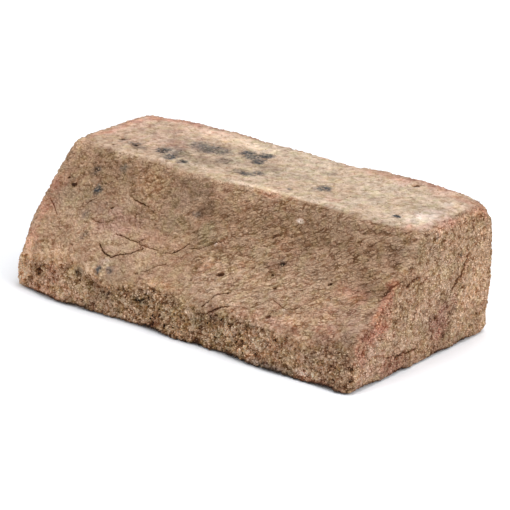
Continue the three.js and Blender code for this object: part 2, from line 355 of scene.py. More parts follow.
foot_gap = end_gap + front_gap

# The relief grows faint towards the foot and is left off the bed, which has only slight hollows of its own.
# The wet clay spread a little where it stood, except at the back right corner.
FOOT_FLARE = 0.5
relief *= (1 - bed) * (0.5 + 0.5 * smoothstep(0, 2, z))
back_corner = np.exp(-((x - 106) / 9) ** 2 - ((y - 53) / 9) ** 2)
relief += FOOT_FLARE * (1 - 1.2 * back_corner) * (1 - smoothstep(0.8, FOOT_HEIGHT, z)) * (1 - bed)
relief -= np.abs(0.25 * crumbs + 0.3 * lumps) * bed
at += out * relief[:, None]
at[:, 2] = np.maximum(at[:, 2], 0) + UNDERCUT_HEIGHT * undercut * (raised + GAP_HEIGHT * foot_gap)
skin.vertices.foreach_set("co", (at * MM).ravel())
skin.update()
skin.shade_smooth()

# Firing and sand coloured the clay in patches; the paler and duller ones, and the browner ones under the
# slope's crest, are partly painted light and shade. Each is (place, reach along X, Y and Z, strength), and
# its edge is broken up by noise.
RED = [
    ((-101, 12.5, 65), (4, 14, 5), 0.6), ((-100, 30.5, 65), (5, 16, 5), 0.7),
    ((-95, 46.5, 65), (14, 6, 6), 0.75), ((-82, 49.5, 65), (14, 4.5, 5), 0.7),
    ((-50, 52.5, 65), (30, 3.5, 4), 0.6), ((0, 52.5, 64), (40, 3, 4), 0.45),
    ((-102, -21.5, 47), (6, 8, 8), 0.7), ((-102, -30.5, 38), (6, 8, 8), 0.6),
    ((-102, -41.5, 26), (6, 7, 8), 0.5), ((-52, -27.5, 39), (14, 8, 8), 0.15),
    ((-35, -28.5, 36), (14, 7, 7), 0.15), ((103, -18.5, 42), (4, 5, 4), 0.7),
    ((105.5, -25, 38.5), (4, 6, 5), 0.85), ((106.5, -30.5, 34), (3.5, 7.5, 7), 0.9),
    ((107, -33, 29), (3, 8, 8), 0.95), ((107, -39, 25), (3, 6, 6), 0.95),
    ((106.5, -45, 20), (4, 5, 7), 0.75), ((87, -27.5, 37.5), (11, 6, 5), 0.55),
    ((87, -47, 24), (9, 4, 6), 0.4), ((66, -48, 22.5), (16, 4, 4), 0.28),
    ((104, 45.5, 63), (7, 8, 6), 0.55), ((98, 43.5, 65.5), (9, 6, 4), 0.5),
    ((106, 16, 62), (4, 14, 3), 0.5), ((17, -3.5, 62.5), (9, 2.4, 3), 0.4),
    ((100, -1.5, 64), (5, 3, 3), 0.35), ((48.5, 6, 64.5), (8, 3.5, 4), 0.25),
    ((75, 50.5, 65), (30, 3, 4), 0.6), ((56, 48, 65.5), (26, 4.5, 4), 0.45),
    ((105.5, -19.5, 6), (4, 14, 7), 0.5), ((90, -53.5, 2), (18, 4, 3), 0.4),
    ((-88, -49, 2), (14, 4, 4), 0.3),
]
PURPLE = [
    ((106, 12, 16), (4, 8, 14), 0.8), ((106, 9.5, 20), (4, 3, 4), 0.9), ((106, 23, 22), (4, 5, 7), 0.3),
    ((105.5, -24.5, 5), (4, 12, 6), 0.3), ((-57, 18.5, 65), (10, 7, 3), 0.5),
    ((-15, -49.5, 4), (4, 4, 4), 0.5), ((-78, -48, 12), (5, 4, 5), 0.5), ((21, -48.5, 18), (5, 3, 6), 0.6),
    ((39, -25, 38), (4, 4, 3), 0.7),
]
OLIVE = [
    ((-6, -21.5, 42), (9, 7, 9), 0.9), ((-86, -22.5, 45), (9, 8, 10), 0.6),
    ((-22, -21.5, 43), (12, 9, 10), 0.5), ((30, -24.5, 40), (20, 10, 9), 0.4),
    ((-60, -47.5, 14), (16, 5, 8), 0.5), ((5, -49, 10), (60, 6, 15), 0.62),
]
# Browner clay under the slope's crest, partly the clay's own tone and partly painted shade where the slope
# steepens.
SHADED_BROWN = [
    ((-66, -12, 56), (44, 13, 11), 1.0), ((36, -12, 53), (66, 11, 10), 0.75),
    ((106, 38, 63), (9, 20, 6), 0.45),
]
# Paler patches, partly the clay's own tone and partly painted light.
PALE_AND_LIT = [
    ((-72, -38, 29), (30, 13, 9), 0.15), ((106.8, -33, 30), (3, 6, 8), 0.8),
    ((89, -29, 36), (8, 5, 5), 0.35), ((40.5, -7.5, 56), (3, 2.2, 2), 0.5),
    ((25, -1, 63.8), (40, 2.5, 2), 0.35), ((107, 38, 33), (6, 26, 40), 0.8),
    ((-95, -46, 17), (14, 6, 9), 0.6), ((107, 0, 30), (6, 46, 34), 0.7), ((-78, -48, 8), (40, 6, 17), 1.25),
    ((-5, -49, 8), (60, 6, 16), 1.0), ((41, -51.5, 11), (8, 4, 8), 1.0), ((75, -52, 8), (36, 6, 16), 0.75),
    ((-95, -34, 30), (16, 18, 16), 0.25), ((-80, -45, 21), (14, 6, 7), 1.1),
    ((-55, -48.5, 18), (11, 5, 7), 0.9), ((-102, -43, 10), (9, 10, 16), 1.6),
    ((-15, -45.5, 21), (14, 5, 5), 0.6), ((30, -48, 21.5), (14, 5, 5), 0.5),
    ((50, -48.5, 21.5), (16, 5, 6), 0.25), ((74, -43, 26.5), (13, 6, 5), 0.5),
    ((107, -38, 13), (4, 18, 16), 0.6), ((106, 3, 7), (4, 9, 6), 0.9), ((107.5, 20, 53), (4, 16, 16), 0.75),
    ((105, 49, 8), (4, 7, 12), 1.1), ((106, 32, 16), (4, 16, 16), 0.9), ((-49, -11, 55.5), (11, 8, 9), 0.8),
    ((6, -31.5, 33), (9, 5, 5), 0.45), ((23, -27, 37), (7, 5, 5), 0.45), ((36, -18.5, 44), (6, 6, 7), 0.4),
    ((66, -46, 24), (9, 4, 4), 0.9), ((83, -40, 29), (6, 4, 4), 1.0), ((106.5, 27, 22), (4, 5, 6), 1.2),
    ((107.5, 43, 49), (4, 8, 10), 1.1), ((10, -11, 54), (9, 6, 5), 0.35), ((88, 6, 65), (5, 4, 3), 0.4),
    ((-103, -4, 61.5), (5, 6, 5), 0.6), ((32, -50.5, 11), (9, 4, 7), 1.25),
    ((-45, -49, 14.5), (7, 4, 5), 1.15), ((83, -54, 3.6), (11, 3, 2.2), 1.15),
    ((-92, -10, 57), (5, 8, 8), 0.4), ((13, -2, 63.5), (11, 4, 4), 0.6), ((-18, -25.5, 38), (7, 6, 6), 0.4),
    ((36, -14, 50), (7, 9, 11), 0.45), ((50, -52, 11), (32, 6, 8), 0.9), ((-42, 42, 65), (34, 7, 4), 0.6),
    ((78, -36, 31), (11, 7, 6), 0.7), ((14, -5, 60), (9, 6, 6), 0.25), ((-12, -48, 17), (10, 4, 5), 0.8),
    ((-95, -38, 27), (12, 9, 8), 0.5), ((-91, -46, 17), (11, 5, 7), 1.1),
    ((12, -20, 45), (24, 12, 13), 0.22), ((28, -4, 61.5), (8, 4, 4), 0.3),
    ((72, -51.5, 11), (12, 5, 9), 0.8), ((97, -52, 6), (7, 4, 5), 0.8), ((107, 44, 26), (5, 16, 22), 1.1),
    ((106, 12, 10), (4, 5, 6), 1.15), ((107.5, 9, 60), (4, 9, 6), 1.2), ((107.5, 30, 60), (4, 9, 6), 1.0),
    ((28, -33, 32), (17, 6, 6), 0.35), ((5, -8, 57), (9, 7, 7), 0.3), ((-75, -47.5, 18), (8, 5, 5), 1.4),
    ((-16, -49.5, 9), (7, 4, 5), 1.2), ((3, -50.5, 5), (8, 4, 5), 1.2), ((45, -52.5, 6), (10, 4, 5), 1.3),
    ((91, -38, 33), (6, 5, 5), 0.15), ((107, -25, 19), (4, 6, 6), 0.9), ((107, -46, 8), (4, 6, 6), 0.9),
    ((106.5, 38, 23), (4, 9, 9), 1.3),
]
# Duller patches, partly the clay's own tone and partly painted shade, as low on the front by the foot.
DULL_AND_SHADED = [
    ((-80, 30, 65), (14, 14, 4), 0.4), ((-34, 11, 64.5), (26, 7, 4), 0.75),
    ((-8, 22, 64.5), (17, 6, 4), 0.7), ((-26, -12, 53), (12, 10, 12), 0.65),
    ((-70, -25.5, 42), (11, 6, 6), 0.5), ((45.5, -37.5, 29.5), (9, 5, 4), 0.35),
    ((100, -10, 53), (10, 7, 9), 0.6), ((97, -41.5, 28.5), (7, 8, 6), 0.35),
    ((103, -24, 40), (6, 7, 5), 0.5), ((76, -25, 38), (14, 6, 6), 0.2), ((85, -38, 31), (26, 10, 10), 0.3),
    ((106.6, 2, 18), (4, 7, 8), 0.45), ((107, 17, 27), (4, 6, 9), 0.5), ((104, -27, 37.5), (4, 4, 4), 0.5),
    ((87, -49, 20.5), (5, 4, 4), 0.7), ((82, -51.5, 11), (7, 4, 6), 0.4), ((-31, -21, 44), (8, 7, 7), 0.45),
    ((-28, -43, 24), (7, 6, 5), 0.4), ((88, -20, 43), (12, 7, 7), 0.3), ((107.5, -6, 57), (4, 6, 6), 0.4),
    ((105, 16, 65), (6, 26, 3), 0.4), ((84, -36, 31), (14, 9, 7), 0.5), ((80, -6, 59.5), (24, 4, 3.5), 0.4),
    ((-30, 51.5, 65), (40, 3, 3), 0.4), ((60, 50, 65.5), (40, 3, 3), 0.5),
    ((-62, 27, 65.3), (22, 6, 3), 0.4), ((-70, 49, 65), (18, 4, 4), 0.55),
    ((90, 22, 65.3), (14, 10, 3), 0.35), ((100, 44, 64), (8, 10, 4), 0.4), ((60, 18, 65), (14, 5, 4), 0.3),
    ((-50, -36, 31), (14, 8, 8), 0.25), ((60, -21, 42), (16, 8, 8), 0.3), ((102, -45, 25), (7, 6, 6), 0.6),
    ((-52, -24, 42), (22, 8, 8), 0.4), ((-22, -9, 56.5), (13, 8, 9), 0.75),
    ((-60, -28, 39), (10, 8, 8), 0.5), ((51, -18.5, 44), (7, 6, 6), 0.35),
    ((-97, -24, 44), (8, 10, 9), 0.5), ((13, -19, 43.5), (8, 6, 6), 0.35), ((27, -37, 30), (5, 5, 4), 0.35),
    ((107.6, 6, 61), (3, 4, 5), 0.6), ((91, 26, 65.5), (6, 6, 3), 0.4), ((69, -24.5, 40), (7, 6, 5), 0.35),
    ((-38, -46, 21.5), (8, 5, 4), 0.35), ((12, -49.5, 13), (6, 4, 7), 0.6),
    ((91.5, -37, 31), (4, 5, 5), 0.6), ((106, -41, 28), (4, 5, 6), 0.5), ((-36, -1, 64), (6, 3.5, 3), 0.5),
    ((-71, 4.5, 65), (8, 4, 3), 0.4), ((-42, -42, 25), (14, 5, 5), 0.35), ((-88, -5, 61), (10, 6, 5), 0.35),
    ((-48, 16, 65), (10, 8, 4), 0.5), ((-30, 22, 64.5), (44, 22, 4), 0.25),
    ((68, -3, 61.5), (42, 4, 3), 0.35), ((60, -46, 24), (12, 5, 6), 0.25), ((15, 22, 64.5), (8, 6, 4), 0.4),
    ((93, -26, 38.5), (15, 7, 6), 0.6), ((74, -4, 60), (8, 4, 4), 0.3), ((60, -54, 2), (26, 4, 4), 0.6),
    ((-44, -48.5, 18), (5, 4, 4), 0.6), ((103, -36, 32), (3.5, 9, 5), 0.75),
    ((-13, -13, 52), (6, 6, 6), 0.9), ((106.6, -15, 23), (3, 4, 4), 0.5),
]
BLUSH = [
    ((103, 4, 64.5), (5, 5, 4), 1.0), ((98.5, 0.5, 64.5), (4, 3, 4), 0.9), ((104, 16, 64), (6, 12, 4), 0.7),
    ((-97, 30, 66), (10, 24, 3), 0.6), ((-75, 25, 65), (30, 24, 4), 0.4), ((-70, 48, 66), (30, 8, 3), 0.6),
    ((70, 45, 66), (30, 8, 3), 0.5), ((102, 36, 65), (6, 12, 4), 0.4), ((94, -40, 27), (18, 12, 12), 0.4),
    ((107, -40, 12), (4, 16, 14), 0.5), ((-55, -28, 38), (20, 10, 10), 0.5),
    ((50, -50, 22), (20, 4, 4), 0.35),
]
MANGANESE = [
    ((-85, 8, 65), (5, 3.5, 3), 0.35), ((-76, 7, 65), (5.5, 3.5, 3), 0.6),
    ((-70, 4.5, 65), (4, 3.5, 3), 0.45), ((-58.5, 9, 65), (5.5, 4.8, 3), 0.95),
    ((-52, 6.5, 64.8), (4.5, 3, 3), 0.9), ((-50, 3.5, 64.5), (5, 3.5, 3), 0.95),
    ((-54, 9.5, 65), (9, 8, 3), 0.5), ((-41.5, 3, 64.5), (4.5, 3, 3), 0.9),
    ((-43, 25.5, 64.5), (9, 7, 3), 0.8), ((-51, 26, 65), (6, 7, 3), 0.7),
    ((-36.5, 26.5, 64.5), (7, 6, 3), 0.7), ((-26, 33, 64), (5, 4.5, 3), 1.0),
    ((-20.5, 30.5, 64), (7, 6, 3), 0.9), ((-16, 35, 64), (5, 4.5, 3), 1.1),
    ((-14, 26.5, 64), (5, 4.5, 3), 1.1), ((-27, 17, 64.5), (7, 5, 3), 0.4),
    ((-8.5, 10, 64), (7, 3, 3), 0.9), ((-4, 14.5, 64), (5, 3, 3), 0.8), ((22.5, 5.5, 64), (2, 1.6, 3), 0.8),
    ((24, 13.5, 64), (2.8, 1.9, 3), 0.4), ((35, 16, 64.5), (6, 5.4, 3), 0.95),
    ((86, 5.5, 65), (3, 1.8, 3), 1.2), ((24, 34.5, 64.5), (4.5, 3.5, 3), 0.35),
    ((-76, -19.5, 49), (3, 3, 4), 1.05), ((-83.5, -13, 55.5), (3, 3, 3.4), 0.6),
    ((-68.5, -9.5, 58.5), (3, 3, 3), 0.55), ((-75.5, -29.5, 39), (3, 3, 3), 0.5),
    ((-70, -36.5, 31.5), (2.6, 3, 3), 0.4), ((-15.5, -16, 49), (4, 2.6, 2.6), 0.55),
    ((42.5, -23.5, 40), (2.4, 2.4, 2.4), 0.4), ((-51.5, -47.5, 21), (2.8, 3, 3), 0.95),
    ((-44, -46, 22.5), (2.6, 2.8, 2.6), 0.75), ((-63, -48, 17.5), (3.4, 3, 3.4), 0.45),
    ((-47, -49, 12), (3.0, 2.8, 2.6), 0.4), ((-43.5, -49, 11.5), (2.6, 2.6, 2.4), 0.5),
    ((-25, -48.5, 12.5), (5, 3, 2), 0.6), ((21, -48.5, 15.5), (4, 3, 3), 0.25),
    ((67.5, 44, 66), (2.2, 1.8, 2), 0.6), ((107.5, 8, 58.5), (3, 1.4, 2.6), 0.6),
    ((107.5, 27, 45.5), (3, 1.4, 1.6), 0.7),
]
LIME = [
    ((97, 12, 65), (8, 7.5, 3), 1.1), ((95, 33.5, 65.5), (3, 3, 2), 0.7), ((98, 19.5, 65), (6, 6, 3), 0.7),
    ((95.5, 6.5, 65), (5.5, 5, 3), 0.7), ((39.8, -7.5, 56), (2.4, 1.5, 1.3), 1.05),
    ((2.5, -23.5, 40), (1.4, 1.2, 1.0), 1.0), ((49, -51, 16), (1.2, 1.6, 1.2), 0.9),
    ((-20, -47.5, 17), (1.4, 1.6, 1.6), 0.7), ((-49.5, -44.5, 25), (4, 3, 2.4), 0.3),
    ((59, -42, 26), (2, 1.4, 1), 0.6), ((60, -54.5, 2.6), (18, 3, 1.6), 0.6),
    ((83, -54, 3.6), (11, 3, 1.4), 0.55),
]


def mask(patch_list, ragged):
    """Strength of a list of patches at each point: that of the strongest one there."""
    total = np.zeros(count)
    for centre, reach, strength in patch_list:
        away = np.linalg.norm((at - on_skin(centre)) / reach, axis=1) + ragged
        total = np.maximum(total, strength * (1 - smoothstep(0.35, 1.15, away)))
    return total


fine_edge = 0.35 * waves(2.6, 3, 31.0)
broad_edge = 0.4 * waves(7, 3, 33.0)

# A painted shadow along the foot, where the clay meets the floor, taller in the gaps. The bed is left out but
# for its rim, and the line is faint at the left end.
above_bed = 1 - bed * smoothstep(0.5, 3, inside)
foot_shadow_line = (1 - smoothstep(0.3, 1.7 - 0.8 * ends, z)) * (1 - 0.3 * ends)
foot_shadow_line += foot_gap * (1 - smoothstep(1.0, 3.0 - 0.6 * ends, z))
foot_shadow_line = np.clip(foot_shadow_line, 0, 1) * above_bed * (0.2 + 0.8 * smoothstep(-103, -93, x))

# Painted shade: everything that goes in is darker (cracks, fold marks, pinholes, the creases between crumbs
# and nodules), and so is the foot's painted shadow.
hollow = 0.5 * cut + foot_shadow_line + 0.5 * fold_marks + 0.3 * fine_marks + 0.7 * pinholes
hollow += crease(crumbs, 0.12) * (0.1 * rough + 0.2 * ends + 0.25 * torn_band)
hollow += 0.8 * (1 - smoothstep(0.0, 0.26, nodules)) * smoothstep(-0.3, 0.4, lumps) * torn_band

# Dry, pale clay on the top and just over its arrises, less of it towards the left end.
over_arris = 0.5 * smoothstep(62.5 + 0.7 * smoothstep(5, 35, x), 64.5, z) * (1 - top)
bloom = (top * (0.75 + 0.5 * patches) + over_arris) * (0.75 + 0.25 * smoothstep(-75, -45, x))

crumbly = np.maximum(band, ends)
sanded = (0.5 + 0.5 * crumbly - 0.4 * top - 0.35 * smooth_skin) * (1 - bed) * (1 - foot_shadow_line)
for name, values in (
    ("red", mask(RED, broad_edge)),
    ("purple", mask(PURPLE, broad_edge)),
    ("olive", mask(OLIVE, broad_edge)),
    ("shaded_brown", mask(SHADED_BROWN, broad_edge)),
    ("pale_and_lit", mask(PALE_AND_LIT, broad_edge) - mask(DULL_AND_SHADED, broad_edge) + 0.85 * torn_band + 0.25 * ends),
    ("lime", mask(LIME, fine_edge)),
    ("blush", mask(BLUSH, broad_edge)),
    ("manganese", mask(MANGANESE, fine_edge)),
    ("bloom", np.clip(bloom, 0, 1)),
    ("hollow", np.clip(hollow, 0, 1.4)),
    ("foot_shadow_line", foot_shadow_line),
    ("beside_crack", beside_crack),
    ("crack_here", crack_here),
    ("from_pit", from_pit),
    ("torn", torn_band),
    ("climbing", climbing),
    ("crumbly", crumbly),
    ("struck", top),
    ("sanded", sanded),
):
    layer = skin.attributes.new(name, "FLOAT", "POINT")
    layer.data.foreach_set("value", values.astype(np.float32))


def linear(hex_colour):
    """An sRGB hex colour as linear RGBA."""
    channels = [int(hex_colour[i:i + 2], 16) / 255 for i in (1, 3, 5)]
    return [c / 12.92 if c <= 0.04045 else ((c + 0.055) / 1.055) ** 2.4 for c in channels] + [1]


def add(tree, kind, inputs=None, stops=(), **settings):
    """Adds a node with its settings. An input is a value, an sRGB hex colour, or a node or socket to link."""
    node = tree.nodes.new(kind)
    for key, value in settings.items():
        setattr(node, key, value)
    for key, value in (inputs or {}).items():
        if isinstance(value, bpy.types.Node):
            value = next(socket for socket in value.outputs if socket.enabled)
        if isinstance(value, bpy.types.NodeSocket):
            tree.links.new(value, node.inputs[key])
        elif isinstance(value, str) and value.startswith("#"):
            node.inputs[key].default_value = linear(value)
        else:
            node.inputs[key].default_value = value
    if stops:
        elements = node.color_ramp.elements
        while len(elements) < len(stops):
            elements.new(0.5)
        for element, (position, colour) in zip(elements, stops):
            element.position = position
            element.color = linear(colour)
    return node


# Unglazed fired clay, sanded before firing: dead matt, mottled from buff to brown over a few centimetres,
# with pinkish and olive clay mixed in over a few millimetres, painted shade in its hollows, and grains of
# several shades.
fired_clay = bpy.data.materials.new("fired_clay")
fired_clay.use_nodes = True
clay = fired_clay.node_tree
clay.nodes.clear()
place = add(clay, "ShaderNodeTexCoord").outputs["Object"]
kept = {name: add(clay, "ShaderNodeAttribute", attribute_name=name).outputs["Fac"] for name in (
    "shaded_brown", "pale_and_lit", "bloom", "blush", "red", "purple", "olive", "lime", "manganese", "hollow", "climbing",
    "crumbly", "struck", "torn", "foot_shadow_line", "beside_crack", "crack_here", "from_pit")}

# Body colour, over the width of a hand and over a fingertip.
HAND = 34 * MM
FINGERTIP = 9 * MM
hand = add(clay, "ShaderNodeTexNoise", {"Vector": place, "Scale": 1 / HAND, "Detail": 4})
body = add(clay, "ShaderNodeValToRGB", {"Fac": hand}, [
    (0.34, "#b8987e"), (0.5, "#caab90"), (0.66, "#d6b9a0")])
tip = add(clay, "ShaderNodeTexNoise", {"Vector": place, "Scale": 1 / FINGERTIP, "Detail": 4})
brown = add(clay, "ShaderNodeMapRange", {"Value": tip, 1: 0.42, 2: 0.68, 3: 0, 4: 0.5})
body = add(clay, "ShaderNodeMix", {0: brown, 6: body, 7: "#ba977d"}, data_type="RGBA")

# The patches, in the order in which fire and sand laid them, each with its tint and how strong it is. The
# browner patch under the slope's crest is partly painted shade.
for name, tint, share in (
    ("shaded_brown", "#997b5f", 0.7),
    ("bloom", "#dccbb8", 0.75),
    ("blush", "#e6c2b2", 0.75),
    ("red", "#c98d78", 0.75),
    ("purple", "#a6756a", 0.75),
    ("olive", "#9b9174", 0.45),
    ("lime", "#efdccf", 0.9),
):
    much = add(clay, "ShaderNodeMath", {0: kept[name], 1: share}, operation="MULTIPLY")
    body = add(clay, "ShaderNodeMix", {0: much, 6: body, 7: tint}, data_type="RGBA")
# Paler and duller patches, partly the clay's own tone and partly painted light and shade; the band and the
# ends are painted paler all over.
PALER_BY = 1.55
paler = add(clay, "ShaderNodeMath", {0: PALER_BY, 1: kept["pale_and_lit"]}, operation="POWER")
body = add(clay, "ShaderNodeVectorMath", {0: body, "Scale": paler}, operation="SCALE")

# Pinkish and olive clay mixed into it, in specks of four or five millimetres.
for size, filter_colour, share in ((5.0, "#ffe8f0", 0.2), (4.2, "#f2ffe2", 0.31)):
    speck = add(clay, "ShaderNodeTexNoise", {
        "Vector": place, "Scale": 1 / (size * MM), "Detail": 0, "W": size}, noise_dimensions="4D")
    much = add(clay, "ShaderNodeMapRange", {"Value": speck, 1: 0.48, 2: 0.66, 3: 0, 4: share})
    body = add(clay, "ShaderNodeMix", {0: much, 6: body, 7: filter_colour},
               data_type="RGBA", blend_type="MULTIPLY")

# Manganese, a dark grey stain broken up by the grain of the clay.
GRAIN = 1.4 * MM
grain = add(clay, "ShaderNodeTexNoise", {"Vector": place, "Scale": 1 / GRAIN, "Detail": 3})
broken = add(clay, "ShaderNodeMapRange", {"Value": grain, 1: 0.3, 2: 0.55, 3: 0.35, 4: 1})
much = add(clay, "ShaderNodeMath", {0: kept["manganese"], 1: broken}, operation="MULTIPLY")
body = add(clay, "ShaderNodeMix", {0: much, 6: body, 7: "#505154"}, data_type="RGBA")

# The skin is made of small crumbs with open gaps between some of them: drawn out along the folds on the
# slope, nearly round on the band and the ends, and larger on the struck top. Each kind is how its crumbs
# lie, how far they are drawn out, their width in millimetres, and how much they are stirred. The value of a
# gap is highest in its middle and 0 outside it.
CRUMB_KINDS = (
    (LEVEL, 1.4, 1.7, 1.0),
    (CLIMBING, 2.2, 1.5, 0.9),
    (CLIMBING, 1.1, 1.3, 0.9),
    (LEVEL, 1.5, 2.9, 1.0),
)
STIR = 1.5 * MM
PARTING = 2.2 * MM
gaps = []
crumb_heights = []
for turn, stretch, width, swirl in CRUMB_KINDS:
    lie = add(clay, "ShaderNodeMapping", {
        "Vector": place, "Rotation": turn.to_euler(), "Scale": (stretch, 1, 1)}, vector_type="TEXTURE")
    stir = add(clay, "ShaderNodeTexNoise", {"Vector": lie, "Scale": 1 / STIR, "Detail": 1})
    bent = add(clay, "ShaderNodeVectorMath", {0: stir.outputs["Color"], 1: (swirl * 2 * MM,) * 3, 2: lie},
               operation="MULTIPLY_ADD")
    border = add(clay, "ShaderNodeTexVoronoi", {"Vector": bent, "Scale": 1 / (width * MM)},
                 feature="DISTANCE_TO_EDGE")
    parting = add(clay, "ShaderNodeTexNoise", {"Vector": lie, "Scale": 1 / PARTING, "Detail": 1})
    open_part = add(clay, "ShaderNodeMapRange", {"Value": parting, 1: 0.4, 2: 0.7, 3: 0.12, 4: 0.9})
    half = add(clay, "ShaderNodeMath", {0: open_part, 1: 0.16, 2: 0.15}, operation="MULTIPLY_ADD")
    gaps.append(add(clay, "ShaderNodeMapRange", {"Value": border, 1: 0.0, 2: half, 3: open_part, 4: 0.0},
                    interpolation_type="SMOOTHSTEP"))
    crumb_heights.append(add(clay, "ShaderNodeMath", {0: border, 1: 0.3}, operation="MINIMUM"))
gap = gaps[0]
crumb = crumb_heights[0]
for face, own_gap, own_crumb in zip(("climbing", "crumbly", "struck"), gaps[1:], crumb_heights[1:]):
    gap = add(clay, "ShaderNodeMix", {0: kept[face], 2: gap, 3: own_gap})
    crumb = add(clay, "ShaderNodeMix", {0: kept[face], 2: crumb, 3: own_crumb})

# Painted shade in the gaps between crumbs: darkest on the band and the ends, where they are deepest.
LEVEL_DEPTH = 0.43
CLIMBING_DEPTH = 0.68
CRUMBLY_DEPTH = 1.15
depth = add(clay, "ShaderNodeMapRange", {
    "Value": kept["climbing"], 1: 0.0, 2: 1.0, 3: LEVEL_DEPTH, 4: CLIMBING_DEPTH})
depth = add(clay, "ShaderNodeMix", {0: kept["crumbly"], 2: depth, 3: CRUMBLY_DEPTH})
depth = add(clay, "ShaderNodeMath", {0: kept["torn"], 1: 0.6, 2: depth}, operation="MULTIPLY_ADD")
depth = add(clay, "ShaderNodeMath", {0: kept["struck"], 1: -0.05, 2: depth}, operation="MULTIPLY_ADD")
deep = add(clay, "ShaderNodeMath", {0: gap, 1: depth}, operation="MULTIPLY")
painted_shade = add(clay, "ShaderNodeMath", {0: kept["hollow"], 1: 0.8, 2: deep}, operation="MULTIPLY_ADD")
painted_shade = add(clay, "ShaderNodeMath", {0: painted_shade, 1: 1.25}, operation="MINIMUM")

# Small holes between the crumbs, most of them in the torn band, drawn only as painted shade.
HOLE = 2.1 * MM
hole = add(clay, "ShaderNodeTexNoise", {"Vector": place, "Scale": 1 / HOLE, "Detail": 1})
hole = add(clay, "ShaderNodeMapRange", {"Value": hole, 1: 0.58, 2: 0.66, 3: 0, 4: 1},
           interpolation_type="SMOOTHSTEP")
open_share = add(clay, "ShaderNodeMath", {0: kept["crumbly"], 1: 0.35}, operation="MULTIPLY")
open_share = add(clay, "ShaderNodeMath", {0: kept["torn"], 1: 0.85, 2: open_share}, operation="MULTIPLY_ADD")
hole = add(clay, "ShaderNodeMath", {0: hole, 1: open_share}, operation="MULTIPLY")
painted_shade = add(clay, "ShaderNodeMath", {0: hole, 1: 0.6, 2: painted_shade}, operation="MULTIPLY_ADD")
painted_shade = add(clay, "ShaderNodeMath", {0: painted_shade, 1: hole}, operation="MAXIMUM")

# Cracks and the rims of pits, with torn edges, drawn as painted shade.
tear = add(clay, "ShaderNodeTexNoise", {"Vector": place, "Scale": 1 / GRAIN, "Detail": 2})
tear = add(clay, "ShaderNodeMath", {0: tear, 1: 0.5}, operation="SUBTRACT")
beside = add(clay, "ShaderNodeMath", {0: tear, 1: 1.4, 2: kept["beside_crack"]}, operation="MULTIPLY_ADD")
beside = add(clay, "ShaderNodeMath", {0: beside}, operation="ABSOLUTE")
in_crack = add(clay, "ShaderNodeMapRange", {"Value": beside, 1: 0.2, 2: 0.42, 3: kept["crack_here"], 4: 0.0},
               interpolation_type="SMOOTHSTEP")
from_pit = add(clay, "ShaderNodeMath", {0: tear, 1: 1.2, 2: kept["from_pit"]}, operation="MULTIPLY_ADD")
in_pit = add(clay, "ShaderNodeMapRange", {"Value": from_pit, 1: 0.55, 2: 0.85, 3: 0.9, 4: 0.0},
             interpolation_type="SMOOTHSTEP")
opening = add(clay, "ShaderNodeMath", {0: in_crack, 1: in_pit}, operation="MAXIMUM")
painted_shade = add(clay, "ShaderNodeMath", {0: painted_shade, 1: opening}, operation="MAXIMUM")
painted_shade = add(clay, "ShaderNodeMath", {0: opening, 1: 0.4, 2: painted_shade}, operation="MULTIPLY_ADD")

# Light that comes out of a gap has bounced between walls of clay, which makes it darker and redder: a power
# of the colour does that. On the band and the ends, where sand lies in the gaps, it is less red, and the gaps
# are a little duller instead.
GRIT = 0.95 * MM
grit = add(clay, "ShaderNodeTexNoise", {"Vector": place, "Scale": 1 / GRIT, "Detail": 2, "Roughness": 0.6})
power = add(clay, "ShaderNodeMapRange", {"Value": grit, 1: 0.3, 2: 0.62, 3: 1.14, 4: 0.95})
redder = add(clay, "ShaderNodeMapRange", {"Value": kept["crumbly"], 1: 0.0, 2: 1.0, 3: 1.25, 4: 1.1})
power = add(clay, "ShaderNodeMath", {0: painted_shade, 1: redder, 2: power}, operation="MULTIPLY_ADD")
power = add(clay, "ShaderNodeMath", {0: kept["pale_and_lit"], 1: -0.12, 2: power}, operation="MULTIPLY_ADD")
body = add(clay, "ShaderNodeGamma", {"Color": body, "Gamma": power})

# Grains darker than the clay round them, fainter on the struck top, which has a broader mottling of its own.
SMEAR = 4 * MM
half_struck = add(clay, "ShaderNodeMath", {0: kept["struck"], 1: 0.6}, operation="MULTIPLY")
by_grain = add(clay, "ShaderNodeMapRange", {"Value": grit, 1: 0.3, 2: 0.55, 3: 0.76, 4: 1.03})
by_grain = add(clay, "ShaderNodeMix", {0: half_struck, 2: by_grain, 3: 1.0})
smear = add(clay, "ShaderNodeTexNoise", {"Vector": place, "Scale": 1 / SMEAR, "Detail": 3})
by_smear = add(clay, "ShaderNodeMapRange", {"Value": smear, 1: 0.35, 2: 0.65, 3: 0.78, 4: 1.14})
by_smear = add(clay, "ShaderNodeMix", {0: kept["struck"], 2: 1.0, 3: by_smear})
# The gaps' painted shade darkens the colour further, a little more on the band and the ends.
duller = add(clay, "ShaderNodeMapRange", {"Value": kept["crumbly"], 1: 0.0, 2: 1.0, 3: -0.5, 4: -0.54})
by_gap = add(clay, "ShaderNodeMath", {0: painted_shade, 1: duller, 2: 1.0}, operation="MULTIPLY_ADD")
shade = add(clay, "ShaderNodeMath", {0: by_grain, 1: by_smear}, operation="MULTIPLY")
shade = add(clay, "ShaderNodeMath", {0: shade, 1: by_gap}, operation="MULTIPLY")
body = add(clay, "ShaderNodeVectorMath", {0: body, "Scale": shade}, operation="SCALE")

# The lowest edge, darkened with painted shadow where it meets the floor.
much = add(clay, "ShaderNodeMath", {0: kept["foot_shadow_line"], 1: 0.85}, operation="MULTIPLY")
body = add(clay, "ShaderNodeMix", {0: much, 6: body, 7: "#2b2521"}, data_type="RGBA")

